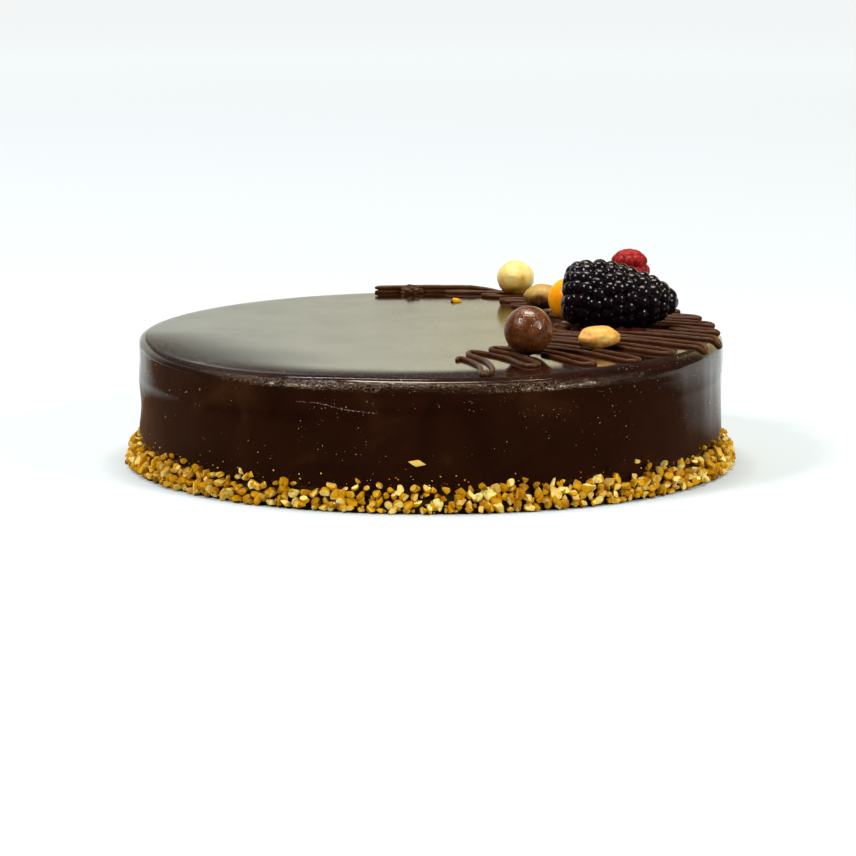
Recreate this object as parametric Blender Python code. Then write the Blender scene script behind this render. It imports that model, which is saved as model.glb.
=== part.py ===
# Round glazed chocolate cake with chopped nuts round its foot, a piped zigzag and toppings
# The origin is the centre of the cake's base, +Z is up, and the side that shows best faces -Y

import math
import random
from bisect import bisect_right

import bmesh
import bpy
from mathutils import Matrix, Vector

MM = 0.001
GAP = 0.3 * MM

# Cake body
CAKE_RADIUS = 100 * MM
CAKE_HEIGHT = 44 * MM
SHOULDER = 2.8 * MM
FRONT_SHOULDER = 3.7 * MM
BACK_RISE = 0.35 * MM
RIGHT_RISE = 0.5 * MM
CAKE_SIDES = 72
TOP_LEVELS = 2
SHOULDER_LEVELS = 5
SIDE_LEVELS = 4
FOOT_WIDTH = 3.8 * MM
FOOT_HEIGHT = 6.5 * MM
FOOT_BELLY = 0.62
SWELL = 0.45 * MM
RIPPLE = 0.5 * MM
RIPPLE_HEIGHT = 18 * MM
RIM_BULGE = 0.5 * MM
RIM_HEIGHT = 38 * MM
RIM_REACH = 7 * MM

# Piped zigzag: its turns on the inner and the outer side, in millimetres, from front to back
STRAND_RADIUS = 0.85 * MM
STRAND_LIFT = 0.35 * MM
STEEPEST = 0.97
STROKE_BULGE = 0.06
LOOP_HALF_WIDTH = 1.9 * MM
LOOP_WOBBLE = 0.8 * MM
PILE_LIFT = 1.5 * MM
PILE_POINTS = 32
PILE_START = 8
INNER_ENDS = (
    (9.5, -60.0), (14.0, -46.5), (21.5, -37.5), (28.0, -30.0), (34.0, -20.0), (39.0, -9.0),
    (43.0, 2.0), (45.0, 14.0), (45.0, 26.0), (43.0, 37.0), (39.0, 48.0), (31.0, 60.0),
    (26.0, 72.0), (20.0, 84.0), (7.5, 94.0), (-20.0, 95.0),
)
OUTER_ENDS = (
    (18.9, -89.5), (33.6, -74.0), (52.2, -71.5), (67.7, -66.0), (79.7, -50.0), (91.5, -36.5),
    (97.5, -20.0), (98.5, -4.0), (97.5, 12.0), (93.0, 28.0), (86.0, 44.0), (75.0, 58.5),
    (61.0, 71.5), (45.0, 82.5), (28.0, 91.0),
)
STRAND_TURN = math.radians(44)
STRAND_STEP = 20 * MM

# Chopped nuts: radius and height of each row's middle, spread, sizes and how many
NUT_ROWS = (
    {"radius": 103.7, "height": 2.2, "spread": 0.8, "sizes": (5.2, 7.2), "count": 72},
    {"radius": 102.4, "height": 5.2, "spread": 1.2, "sizes": (5.0, 7.0), "count": 55},
    {"radius": 101.0, "height": 7.9, "spread": 1.2, "sizes": (4.0, 5.8), "count": 13},
)
NUT_CORNERS = 8
NUT_SHAPE = (0.5, 0.4, 0.34)
NUT_FLOOR = 0.2 * MM

# Bits that stuck higher up: angle in degrees, height, size and tilt in degrees
SIDE_BITS = (
    {"angle": -92.5, "height": 16.1, "size": (6.4, 3.0, 2.4), "tilt": 0},
    {"angle": -66.5, "height": 7.9, "size": (6.4, 3.0, 2.6), "tilt": 50},
    {"angle": -47.0, "height": 12.5, "size": (2.6, 2.0, 1.6), "tilt": 20},
)
TOP_BITS = (
    {"place": (9.5, 73.5), "size": (4.4, 3.2, 2.2), "turn": 10, "lift": 0.35},
    {"place": (-6.5, 94.0), "size": (7.8, 4.6, 4.4), "turn": 4, "lift": 0.8},
)

# Toppings: place on the cake's top, and half sizes along X, Y and Z
BALL_PLACE = (32.8, -50.6)
BALL_RADIUS = 8.2 * MM
ORANGE_PLACE = (48.5, 26.9)
ORANGE_RADIUS = 7.4 * MM
HAZELNUTS = {
    "hazelnut_back": {"place": (30.8, 86.0), "half": (6.7, 6.5, 6.3), "turn": 15, "taper": 0.04},
    "hazelnut_mid": {"place": (40.0, 52.7), "half": (6.9, 5.9, 4.4), "turn": -20, "taper": 0.14},
    "hazelnut_front": {"place": (56.7, -37.7), "half": (6.9, 5.4, 3.7), "turn": 4, "taper": 0.10},
}

# Dark berry, lying on its side: stem end at the left, thickest at its crown, tip at the right
DARK_STEM_X = 45.3 * MM
DARK_CROWN_X = 60.0 * MM
DARK_TIP_X = 85.6 * MM
DARK_RADIUS = 11.8 * MM
DARK_SPINE = ((45.3, 7.4, 55.7), (58.7, 6.3, 55.8), (72.2, 6.1, 53.7), (85.6, 7.4, 52.4))
DARK_PITCH = 4.9 * MM

# Red berry, standing on its open end
RED_PLACE = (70.0, 40.6)
RED_HEIGHT = 23.0 * MM
RED_RADIUS = 9.6 * MM
RED_PITCH = 4.4 * MM

# Each cell of a berry is a dome: its edge's depth and its shoulder's, as shares of the pitch
BERRY_STEPS = 200
CELL_DEPTH = 0.36
CELL_SHOULDER = 0.10
CELL_CROWN = 0.62

SEED = 41


def clear_scene():
    for item in list(bpy.data.objects):
        bpy.data.objects.remove(item, do_unlink=True)


def make_material(name, colour, roughness, metallic=0.0):
    material = bpy.data.materials.new(name)
    material.use_nodes = True
    shader = material.node_tree.nodes["Principled BSDF"]
    shader.inputs["Base Color"].default_value = (*colour, 1.0)
    shader.inputs["Roughness"].default_value = roughness
    shader.inputs["Metallic"].default_value = metallic
    return material


def add_object(name, mesh, collection):
    item = bpy.data.objects.new(name, mesh)
    collection.objects.link(item)
    return item


def mesh_from(name, builder):
    mesh = bpy.data.meshes.new(name)
    builder.to_mesh(mesh)
    builder.free()
    return mesh


def applied_mesh(item, name):
    """The object's evaluated mesh in world space, with loose caps welded; the object goes."""
    graph = bpy.context.evaluated_depsgraph_get()
    mesh = bpy.data.meshes.new_from_object(item.evaluated_get(graph))
    mesh.transform(item.matrix_world)
    mesh.name = name
    builder = bmesh.new()
    builder.from_mesh(mesh)
    bmesh.ops.remove_doubles(builder, verts=builder.verts, dist=0.01 * MM)
    builder.to_mesh(mesh)
    builder.free()
    bpy.data.objects.remove(item, do_unlink=True)
    return mesh


# Curves

def smooth_path(points, per_span):
    """A centripetal Catmull-Rom curve through the points."""
    first = points[0] * 2 - points[1]
    last = points[-1] * 2 - points[-2]
    chain = [first, *points, last]
    path = []
    for a, b, c, d in zip(chain, chain[1:], chain[2:], chain[3:]):
        knot_b = math.sqrt((b - a).length)
        knot_c = knot_b + math.sqrt((c - b).length)
        knot_d = knot_c + math.sqrt((d - c).length)
        for step in range(per_span):
            t = knot_b + (knot_c - knot_b) * step / per_span
            ab = a.lerp(b, t / knot_b)
            bc = b.lerp(c, (t - knot_b) / (knot_c - knot_b))
            cd = c.lerp(d, (t - knot_c) / (knot_d - knot_c))
            abc = ab.lerp(bc, t / knot_c)
            bcd = bc.lerp(cd, (t - knot_b) / (knot_d - knot_b))
            path.append(abc.lerp(bcd, (t - knot_b) / (knot_c - knot_b)))
    path.append(points[-1])
    return path


def thinned(path):
    """The path without the points that its bends and its length don't need."""
    kept = [path[0], path[1]]
    heading = path[1] - path[0]
    for point, after in zip(path[2:], path[3:]):
        turned = heading.angle(after - point, 0.0)
        if turned > STRAND_TURN or (point - kept[-1]).length > STRAND_STEP:
            kept.append(point)
            heading = after - point
    if (kept[-1] - path[-1]).length < STRAND_RADIUS:
        kept.pop()
    return kept + [path[-1]]


# Cake body

def shoulder_size(angle):
    """Radius of the rounded edge of the top, which is softest at the front."""
    return SHOULDER + FRONT_SHOULDER * max(0.0, -math.sin(angle)) ** 1.5


def top_rise(spot):
    """How far the top lies over its height at the middle: it rises to the back and the right."""
    across = spot.x / CAKE_RADIUS
    along = spot.y / CAKE_RADIUS
    return BACK_RISE * (across * across + along * along + along) + RIGHT_RISE * across


def side_wave(angle, height):
    """How far the glaze swells out of the round at a place on the side."""
    swell = SWELL * math.sin(3 * angle + 0.6) * math.cos(2 * angle - 0.4)
    phase = 2 * math.pi * (height - 24.5 * MM) / RIPPLE_HEIGHT
    ripple = RIPPLE * math.sin(phase + 1.3 * math.sin(2 * angle)) * (0.55 - 0.45 * math.cos(angle))
    bulge = RIM_BULGE * (1 - max(0.0, -math.sin(angle)))
    bulge *= max(0.0, 1 - ((height - RIM_HEIGHT) / RIM_REACH) ** 2)
    fade = min(1.0, max(0.0, (CAKE_HEIGHT - height) / shoulder_size(angle)))
    return (swell + ripple + bulge) * fade


def over_edge(angle, radius, lift):
    """Reach and height over the rounded edge, at a radius between the flat top and the side."""
    size = shoulder_size(angle)
    slope = math.asin(min(1.0, (radius - CAKE_RADIUS + size) / size))
    outward = Vector((math.cos(angle), math.sin(angle)))
    height = CAKE_HEIGHT + top_rise(outward * radius) - size + (size + lift) * math.cos(slope)
    reach = CAKE_RADIUS - size + (size + lift) * math.sin(slope) + side_wave(angle, height)
    return outward.x * reach, outward.y * reach, height


def body_ring(angle):
    """The half outline at one angle, from next to the middle of the top down to the foot."""
    outward = Vector((math.cos(angle), math.sin(angle)))
    size = shoulder_size(angle)
    ring = []
    for level in range(1, TOP_LEVELS + 1):
        spot = outward * ((CAKE_RADIUS - size) * level / TOP_LEVELS)
        ring.append((spot.x, spot.y, CAKE_HEIGHT + top_rise(spot)))
    for level in range(1, SHOULDER_LEVELS + 1):
        slope = math.pi / 2 * level / SHOULDER_LEVELS
        ring.append(over_edge(angle, CAKE_RADIUS - size + size * math.sin(slope), 0.0))
    start = ring[-1][2]
    for level in range(1, SIDE_LEVELS + 1):
        height = start + (FOOT_HEIGHT - start) * level / SIDE_LEVELS
        reach = CAKE_RADIUS + side_wave(angle, height)
        ring.append((outward.x * reach, outward.y * reach, height))
    height = FOOT_HEIGHT * FOOT_BELLY
    reach = CAKE_RADIUS + FOOT_WIDTH * FOOT_BELLY + side_wave(angle, height)
    ring.append((outward.x * reach, outward.y * reach, height))
    reach = CAKE_RADIUS + FOOT_WIDTH
    ring.append((outward.x * reach, outward.y * reach, 0.0))
    return ring


def cake_body(collection):
    builder = bmesh.new()
    middle = builder.verts.new((0.0, 0.0, CAKE_HEIGHT))
    base = builder.verts.new((0.0, 0.0, 0.0))
    rings = []
    for turn in range(CAKE_SIDES):
        ring = body_ring(2 * math.pi * turn / CAKE_SIDES)
        rings.append([builder.verts.new(spot) for spot in ring])
    for here, after in zip(rings, rings[1:] + rings[:1]):
        builder.faces.new((middle, here[0], after[0]))
        for level in range(len(here) - 1):
            builder.faces.new((here[level], here[level + 1], after[level + 1], after[level]))
        builder.faces.new((here[-1], base, after[-1]))
    bmesh.ops.recalc_face_normals(builder, faces=builder.faces)
    return add_object("glazed_cake", mesh_from("glazed_cake", builder), collection)


# Piped zigzag

def drape(spot, lift):
    """A point lifted off the cake's surface, over the place that it has in plan."""
    radius = spot.length
    angle = math.atan2(spot.y, spot.x)
    size = shoulder_size(angle)
    if radius <= CAKE_RADIUS - size:
        return Vector((spot.x, spot.y, CAKE_HEIGHT + lift + top_rise(spot)))
    steepest = CAKE_RADIUS - size + STEEPEST * size
    return Vector(over_edge(angle, min(radius, steepest), lift))


def zigzag_plan(rng):
    """The whole zigzag in plan, as one fine path."""
    inner_ends = [Vector(spot) * MM for spot in INNER_ENDS]
    outer_ends = [Vector(spot) * MM for spot in OUTER_ENDS]
    corners = []

    def add_loop(ends, index):
        last = len(ends) - 1
        along = (ends[min(index + 1, last)] - ends[max(index - 1, 0)]).normalized()
        across = Vector((along.y, -along.x)) * rng.uniform(-LOOP_WOBBLE, LOOP_WOBBLE)
        middle = ends[index] + across
        corners.append(middle - along * LOOP_HALF_WIDTH)
        corners.append(middle + along * LOOP_HALF_WIDTH)

    for index in range(len(outer_ends)):
        add_loop(inner_ends, index)
        stroke = outer_ends[index] - inner_ends[index]
        bulge = Vector((-stroke.y, stroke.x)) * STROKE_BULGE
        corners.append(inner_ends[index] + stroke / 2 + bulge)
        add_loop(outer_ends, index)
        stroke = inner_ends[index + 1] - outer_ends[index]
        bulge = Vector((stroke.y, -stroke.x)) * STROKE_BULGE
        corners.append(outer_ends[index] + stroke / 2 + bulge)
    corners.append(inner_ends[-1])
    return smooth_path(corners, 16)


def foot_half(half_wide, half_tall):
    """How near to a rounded topping's middle a strand may come."""
    reach = min(STRAND_LIFT + STRAND_RADIUS - GAP, half_tall)
    share = math.sqrt(1 - (1 - reach / half_tall) ** 2)
    return half_wide * share + STRAND_RADIUS + GAP


def topping_feet():
    """The ellipses of the cake's top that the toppings keep free of strands."""
    ball = foot_half(BALL_RADIUS, BALL_RADIUS)
    orange = foot_half(ORANGE_RADIUS, ORANGE_RADIUS)
    red = RED_RADIUS + STRAND_RADIUS
    dark_wide = foot_half(DARK_RADIUS, DARK_RADIUS)
    dark_long = (DARK_TIP_X - DARK_STEM_X) / 2
    dark_middle = Vector(((DARK_TIP_X + DARK_STEM_X) / 2, DARK_SPINE[1][1] * MM))
    feet = [
        (Vector(BALL_PLACE) * MM, ball, ball),
        (Vector(ORANGE_PLACE) * MM, orange, orange),
        (Vector(RED_PLACE) * MM, red, red),
        (dark_middle, dark_long, dark_wide),
    ]
    for nut in HAZELNUTS.values():
        wide, deep, tall = (half * MM for half in nut["half"])
        feet.append((Vector(nut["place"]) * MM, foot_half(wide, tall), foot_half(deep, tall)))
    return feet


def strand_runs(plan):
    """The zigzag cut into runs that stay clear of the toppings; its last stroke lies double."""
    feet = topping_feet()
    runs = [[]]
    for spot in plan:
        offsets = [(spot - place, wide, deep) for place, wide, deep in feet]
        under = any((off.x / wide) ** 2 + (off.y / deep) ** 2 < 1 for off, wide, deep in offsets)
        if under and runs[-1]:
            runs.append([])
        if not under:
            runs[-1].append(drape(spot, STRAND_LIFT))
    runs = [run for run in runs if len(run) > 6]
    upper = []
    for index, spot in enumerate(runs[-1][-PILE_POINTS:]):
        upper.append(spot + Vector((0, 0, PILE_LIFT * min(1.0, index / PILE_START))))
    return runs + [upper]


def piped_strands(rng, collection):
    strands = []
    for run in strand_runs(zigzag_plan(rng)):
        curve = bpy.data.curves.new("strand", "CURVE")
        curve.dimensions = "3D"
        curve.bevel_depth = STRAND_RADIUS
        curve.bevel_resolution = 1
        curve.use_fill_caps = True
        path = thinned(run)
        spline = curve.splines.new("POLY")
        spline.points.add(len(path) - 1)
        for point, spot in zip(spline.points, path):
            point.co = (*spot, 1.0)
        tube = add_object("strand", curve, collection)
        strands.append(add_object("strand", applied_mesh(tube, "strand"), collection))
    return strands


# Chopped nuts

def nut_bit(rng, size):
    """One angular bit of nut: the hull of a few points on a ball of the given size."""
    builder = bmesh.new()
    for _ in range(NUT_CORNERS):
        direction = Vector([rng.gauss(0, 1) for _ in range(3)]).normalized()
        builder.verts.new([along * half for along, half in zip(direction, size)])
    hull = bmesh.ops.convex_hull(builder, input=builder.verts)
    loose = [item for item in hull["geom_interior"] if isinstance(item, bmesh.types.BMVert)]
    bmesh.ops.delete(builder, geom=loose, context="VERTS")
    bmesh.ops.recalc_face_normals(builder, faces=builder.faces)
    return mesh_from("nut_bit", builder)


def random_turn(rng):
    axis = Vector([rng.gauss(0, 1) for _ in range(3)]).normalized()
    return Matrix.Rotation(rng.uniform(0, 2 * math.pi), 4, axis)


def place_on_round(mesh, angle, radius, height):
    """Move a small mesh out to a place on the cake's side, turned to face outward."""
    mesh.transform(Matrix.Rotation(angle, 4, "Z") @ Matrix.Translation((radius, 0, height)))


def foot_nuts(rng, collection):
    bits = []
    for row in NUT_ROWS:
        for index in range(row["count"]):
            angle = 2 * math.pi * (index + rng.uniform(-0.3, 0.3)) / row["count"]
            size = rng.uniform(*row["sizes"])
            mesh = nut_bit(rng, [size * share * MM for share in NUT_SHAPE])
            mesh.transform(random_turn(rng))
            radius = (row["radius"] + rng.gauss(0, 0.5) * row["spread"]) * MM
            height = (row["height"] + rng.gauss(0, 0.5) * row["spread"]) * MM
            place_on_round(mesh, angle, radius + side_wave(angle, height), height)
            floor = NUT_FLOOR + rng.uniform(0, NUT_FLOOR)
            for corner in mesh.vertices:
                corner.co.z = max(corner.co.z, floor)
            bits.append(add_object("nut_bit", hull_of(mesh), collection))
    return bits


def hull_of(mesh):
    """A fresh hull of a mesh whose corners have moved."""
    builder = bmesh.new()
    builder.from_mesh(mesh)
    bmesh.ops.delete(builder, geom=builder.faces[:] + builder.edges[:], context="EDGES_FACES")
    hull = bmesh.ops.convex_hull(builder, input=builder.verts)
    unused = set(hull["geom_interior"]) | set(hull["geom_unused"])
    loose = [item for item in unused if isinstance(item, bmesh.types.BMVert)]
    bmesh.ops.delete(builder, geom=loose, context="VERTS")
    bmesh.ops.recalc_face_normals(builder, faces=builder.faces)
    builder.to_mesh(mesh)
    builder.free()
    return mesh


def stuck_bits(rng, collection):
    bits = []
    for bit in SIDE_BITS:
        long, tall, deep = bit["size"]
        mesh = nut_bit(rng, [deep / 2 * MM, long / 2 * MM, tall / 2 * MM])
        mesh.transform(Matrix.Rotation(math.radians(bit["tilt"]), 4, "X"))
        angle = math.radians(bit["angle"])
        height = bit["height"] * MM
        place_on_round(mesh, angle, CAKE_RADIUS + side_wave(angle, height), height)
        bits.append(add_object("side_bit", mesh, collection))
    for bit in TOP_BITS:
        mesh = nut_bit(rng, [size / 2 * MM for size in bit["size"]])
        mesh.transform(Matrix.Rotation(math.radians(bit["turn"]), 4, "Z"))
        mesh.transform(Matrix.Translation(drape(Vector(bit["place"]) * MM, bit["lift"] * MM)))
        bits.append(add_object("top_bit", mesh, collection))
    return bits


# Joining

def fuse(body, pieces):
    """Join the pieces to the body and keep the one outer shell."""
    group = bpy.data.collections.new("fused_pieces")
    bpy.context.scene.collection.children.link(group)
    for piece in pieces:
        for home in list(piece.users_collection):
            home.objects.unlink(piece)
        group.objects.link(piece)
    union = body.modifiers.new("fuse", "BOOLEAN")
    union.operation = "UNION"
    union.operand_type = "COLLECTION"
    union.collection = group
    union.solver = "EXACT"
    graph = bpy.context.evaluated_depsgraph_get()
    fused = bpy.data.meshes.new_from_object(body.evaluated_get(graph))
    body.modifiers.remove(union)
    for piece in pieces:
        bpy.data.objects.remove(piece, do_unlink=True)
    bpy.data.collections.remove(group)
    keep_outer_shell(fused)
    fused.name = body.name
    fused.materials.clear()
    body.data = fused


def keep_outer_shell(mesh):
    """Drop loose scraps and the skins of sealed hollows, and keep the largest shell."""
    builder = bmesh.new()
    builder.from_mesh(mesh)
    unseen = set(builder.faces)
    shells = []
    while unseen:
        front = [unseen.pop()]
        shell = []
        while front:
            face = front.pop()
            shell.append(face)
            for edge in face.edges:
                if len(edge.link_faces) == 2:
                    neighbours = [other for other in edge.link_faces if other in unseen]
                    unseen.difference_update(neighbours)
                    front.extend(neighbours)
        shells.append(shell)
    shells.sort(key=len)
    for shell in shells[:-1]:
        bmesh.ops.delete(builder, geom=shell, context="FACES")
    builder.to_mesh(mesh)
    builder.free()


# Toppings

def rest_on_top(mesh):
    """Lower or raise a mesh until its nearest point is a small gap over the cake's top."""
    lowest = min(corner.co.z - top_rise(corner.co) for corner in mesh.vertices)
    mesh.transform(Matrix.Translation((0, 0, CAKE_HEIGHT + GAP - lowest)))


def round_topping(name, place, half, collection, taper=0.0, turn=0.0):
    """A ball with the given half sizes, drawn in towards its two ends along X by the taper."""
    builder = bmesh.new()
    bmesh.ops.create_uvsphere(builder, u_segments=14, v_segments=9, radius=1.0)
    for corner in builder.verts:
        spot = corner.co
        squeeze = 1 - taper * abs(spot.x) ** 3
        spot.x *= half[0]
        spot.y *= half[1] * squeeze
        spot.z *= half[2] * squeeze
    mesh = mesh_from(name, builder)
    mesh.transform(Matrix.Rotation(math.radians(turn), 4, "Z"))
    mesh.transform(Matrix.Translation((place[0] * MM, place[1] * MM, 0.0)))
    rest_on_top(mesh)
    mesh.shade_smooth()
    return add_object(name, mesh, collection)


def berry(name, spine, outline, pitch, rng, collection):
    """A berry of domed cells; spine and outline go from 0 to 1 along its axis."""
    axis = (spine(1.0) - spine(0.0)).normalized()
    side = axis.orthogonal().normalized()
    up = axis.cross(side)
    shares = [(1 - math.cos(math.pi * step / BERRY_STEPS)) / 2 for step in range(BERRY_STEPS + 1)]
    rim = [spine(share) + side * outline(share) for share in shares]
    slopes = []
    lengths = [0.0]
    for start, end in zip(rim, rim[1:]):
        lengths.append(lengths[-1] + (end - start).length)
        slopes.append(math.atan2((end - start).dot(side), (end - start).dot(axis)))

    def share_at(part):
        """The share of the axis under a part, 0 to 1, of the outline's length."""
        target = lengths[-1] * min(max(part, 0.0), 1.0)
        step = min(bisect_right(lengths, target), BERRY_STEPS) - 1
        mix = (target - lengths[step]) / (lengths[step + 1] - lengths[step])
        return shares[step] + (shares[step + 1] - shares[step]) * mix, slopes[step]

    def on_berry(direction, depth):
        """Where a direction from the middle of a plain ball lies on the berry."""
        share, slope = share_at(math.acos(min(max(-direction.z, -1.0), 1.0)) / math.pi)
        around = math.atan2(direction.y, direction.x)
        outward = side * math.cos(around) + up * math.sin(around)
        normal = outward * math.cos(slope) - axis * math.sin(slope)
        return spine(share) + outward * outline(share) - normal * depth

    ball = bmesh.new()
    rows = round(lengths[-1] / (pitch * 0.87))
    for row in range(rows + 1):
        polar = math.pi * row / rows
        count = max(1, round(2 * math.pi * outline(share_at(row / rows)[0]) / pitch))
        for turn in range(count):
            around = 2 * math.pi * (turn + 0.5 * (row % 2) + rng.uniform(-0.1, 0.1)) / count
            flat = math.sin(polar)
            ball.verts.new((flat * math.cos(around), flat * math.sin(around), -math.cos(polar)))
    bmesh.ops.convex_hull(ball, input=ball.verts)
    ball.normal_update()

    cells = bmesh.new()
    corners = {face: face.calc_center_median().normalized() for face in ball.faces}
    placed = {face: cells.verts.new(on_berry(spot, pitch * CELL_DEPTH)) for face, spot in corners.items()}
    for middle in ball.verts:
        heading = middle.co.normalized()
        east = heading.orthogonal().normalized()
        north = heading.cross(east)
        around = sorted(
            (face for face in middle.link_faces),
            key=lambda face: math.atan2(corners[face].dot(north), corners[face].dot(east)),
        )
        peak = cells.verts.new(on_berry(heading, 0.0))
        ring = []
        for face in around:
            spot = heading.lerp(corners[face], CELL_CROWN).normalized()
            ring.append(cells.verts.new(on_berry(spot, pitch * CELL_SHOULDER)))
        for index, face in enumerate(around):
            after = (index + 1) % len(around)
            cells.faces.new((peak, ring[index], ring[after]))
            cells.faces.new((ring[index], placed[face], placed[around[after]], ring[after]))
    ball.free()
    bmesh.ops.recalc_face_normals(cells, faces=cells.faces)
    mesh = mesh_from(name, cells)
    rest_on_top(mesh)
    return add_object(name, mesh, collection)


def dark_berry(rng, collection):
    line = smooth_path([Vector(spot) * MM for spot in DARK_SPINE], 20)
    full = DARK_TIP_X - DARK_STEM_X
    crown = (DARK_CROWN_X - DARK_STEM_X) / full

    def spine(share):
        place = min(share, 0.9999) * (len(line) - 1)
        return line[int(place)].lerp(line[int(place) + 1], place % 1)

    def outline(share):
        if share < crown:
            return DARK_RADIUS * (1 - min(1, (crown - share) / crown) ** 4) ** 0.25
        return DARK_RADIUS * (1 - min(1, (share - crown) / (1 - crown)) ** 1.75) ** 0.48

    return berry("dark_berry", spine, outline, DARK_PITCH, rng, collection)


def red_berry(rng, collection):
    foot = Vector((RED_PLACE[0] * MM, RED_PLACE[1] * MM, CAKE_HEIGHT))

    def spine(share):
        return foot + Vector((0, 0, RED_HEIGHT * share))

    def outline(share):
        wall = 1 - 0.42 * share ** 1.3
        base = (1 - max(0.0, 1 - share / 0.22) ** 2.5) ** 0.5
        crown = (1 - max(0.0, (share - 0.80) / 0.20) ** 3) ** 0.5
        return RED_RADIUS * wall * base * crown

    return berry("red_berry", spine, outline, RED_PITCH, rng, collection)


def main():
    clear_scene()
    cake = bpy.data.collections.new("chocolate_cake")
    bpy.context.scene.collection.children.link(cake)
    rng = random.Random(SEED)

    body = cake_body(cake)
    pieces = piped_strands(rng, cake) + foot_nuts(rng, cake) + stuck_bits(rng, cake)
    fuse(body, pieces)
    body.data.materials.append(make_material("glaze", (0.025, 0.010, 0.006), 0.12))

    ball = round_topping("choc_ball", BALL_PLACE, [BALL_RADIUS] * 3, cake)
    ball.data.materials.append(make_material("milk_chocolate", (0.16, 0.055, 0.025), 0.3))

    orange = round_topping("orange_berry", ORANGE_PLACE, [ORANGE_RADIUS] * 3, cake)
    orange.data.materials.append(make_material("orange_skin", (0.95, 0.32, 0.01), 0.25))

    nut_material = make_material("nut", (0.72, 0.50, 0.20), 0.5)
    for name, nut in HAZELNUTS.items():
        half = [size * MM for size in nut["half"]]
        kernel = round_topping(name, nut["place"], half, cake, nut["taper"], nut["turn"])
        kernel.data.materials.append(nut_material)

    dark = dark_berry(rng, cake)
    dark.data.materials.append(make_material("dark_skin", (0.012, 0.008, 0.014), 0.15))
    red = red_berry(rng, cake)
    red.data.materials.append(make_material("red_skin", (0.55, 0.03, 0.03), 0.4))


main()
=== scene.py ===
# Looks of the glazed chocolate cake: glaze, piped zigzag, chopped nuts, toppings, light and camera
# Metres, with the cake's base centred on the origin; the side that shows best faces -Y

import math
import random
from bisect import bisect_right

import bmesh
import bpy
import numpy as np
from mathutils import Matrix, Vector, noise


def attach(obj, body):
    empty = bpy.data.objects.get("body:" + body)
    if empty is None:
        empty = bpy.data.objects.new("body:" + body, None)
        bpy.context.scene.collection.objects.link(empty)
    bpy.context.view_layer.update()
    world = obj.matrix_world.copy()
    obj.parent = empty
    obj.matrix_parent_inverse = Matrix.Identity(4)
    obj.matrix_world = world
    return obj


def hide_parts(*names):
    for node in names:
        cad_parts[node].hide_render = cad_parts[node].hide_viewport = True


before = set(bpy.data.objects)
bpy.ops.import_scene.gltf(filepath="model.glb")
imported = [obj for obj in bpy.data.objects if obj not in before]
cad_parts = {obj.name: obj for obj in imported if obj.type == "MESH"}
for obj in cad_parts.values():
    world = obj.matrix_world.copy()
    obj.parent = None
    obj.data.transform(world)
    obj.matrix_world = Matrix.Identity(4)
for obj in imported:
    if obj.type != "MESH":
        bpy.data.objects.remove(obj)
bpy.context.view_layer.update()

MM = 0.001
GAP = 0.3 * MM
SEED = 41

# Lumps, waves and swells given as a pair are the depth and the fineness of a noise

# Cake body, close to the solids: its ripple is shallower and its foot, hidden in nuts, smaller
CAKE_RADIUS = 100 * MM
CAKE_HEIGHT = 44 * MM
SHOULDER = 2.8 * MM
FRONT_SHOULDER = 3.7 * MM
BACK_RISE = 0.35 * MM
RIGHT_RISE = 0.5 * MM
FOOT_WIDTH = 2.6 * MM
FOOT_HEIGHT = 5.5 * MM
FOOT_BELLY = 0.62
SWELL = 0.45 * MM
RIPPLE = 0.34 * MM
RIPPLE_HEIGHT = 18 * MM
RIPPLE_LEVEL = 24.5 * MM
RIPPLE_SLANT = 1.3
RIM_BULGE = 0.5 * MM
RIM_HEIGHT = 38 * MM
RIM_REACH = 7 * MM

# Fine form of the glaze: its mesh, two droops of the top's edge, waves and folds
GLAZE_TURNS = 540
TOP_RINGS = 30
TOP_SPACING = 0.8
SHOULDER_RINGS = 16
SIDE_RINGS = 48
DROOP_START = 80 * MM
DROOP_DEPTH = 0.9 * MM
DROOP_ANGLE = math.radians(-93)
DROOP_NARROWNESS = 1.8
DROOP_FALL = 1.2
DROOP_PATCHES = 0.25
LEFT_START = 52 * MM
LEFT_DEPTH = 1.35 * MM
LEFT_ANGLE = math.radians(-145)
LEFT_WIDTH = math.radians(39)
TOP_WAVE = 0.035 * MM
TOP_FINENESS = 24
TOP_CALM = 40 * MM
FOLD_DEPTH = 0.30 * MM
FOLD_TURNS = 7.0
FOLD_RISE = 22
FINE_WAVE = 0.07 * MM
FINE_TURNS = 19
FINE_RISE = 60
FINE_SLANT = 0.3

# Piped zigzag: its course is the same as in the solids
STRAND_RADIUS = 0.85 * MM
STRAND_LIFT = 0.35 * MM
STEEPEST = 0.97
STROKE_BULGE = 0.06
LOOP_HALF_WIDTH = 1.9 * MM
LOOP_WOBBLE = 0.8 * MM
PILE_LIFT = 1.5 * MM
PILE_POINTS = 32
PILE_START = 8
INNER_ENDS = (
    (9.5, -60.0), (14.0, -46.5), (21.5, -37.5), (28.0, -30.0), (34.0, -20.0), (39.0, -9.0),
    (43.0, 2.0), (45.0, 14.0), (45.0, 26.0), (43.0, 37.0), (39.0, 48.0), (31.0, 60.0),
    (26.0, 72.0), (20.0, 84.0), (7.5, 94.0), (-20.0, 95.0),
)
OUTER_ENDS = (
    (18.9, -89.5), (33.6, -74.0), (52.2, -71.5), (67.7, -66.0), (79.7, -50.0), (91.5, -36.5),
    (97.5, -20.0), (98.5, -4.0), (97.5, 12.0), (93.0, 28.0), (86.0, 44.0), (75.0, 58.5),
    (61.0, 71.5), (45.0, 82.5), (28.0, 91.0),
)
PATH_STEPS = 16
SHORTEST_RUN = 6
STRAND_SIDES = 12
STRAND_STEP = 0.8 * MM
STRAND_END = (0.35, 0.8, 0.95)
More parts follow.
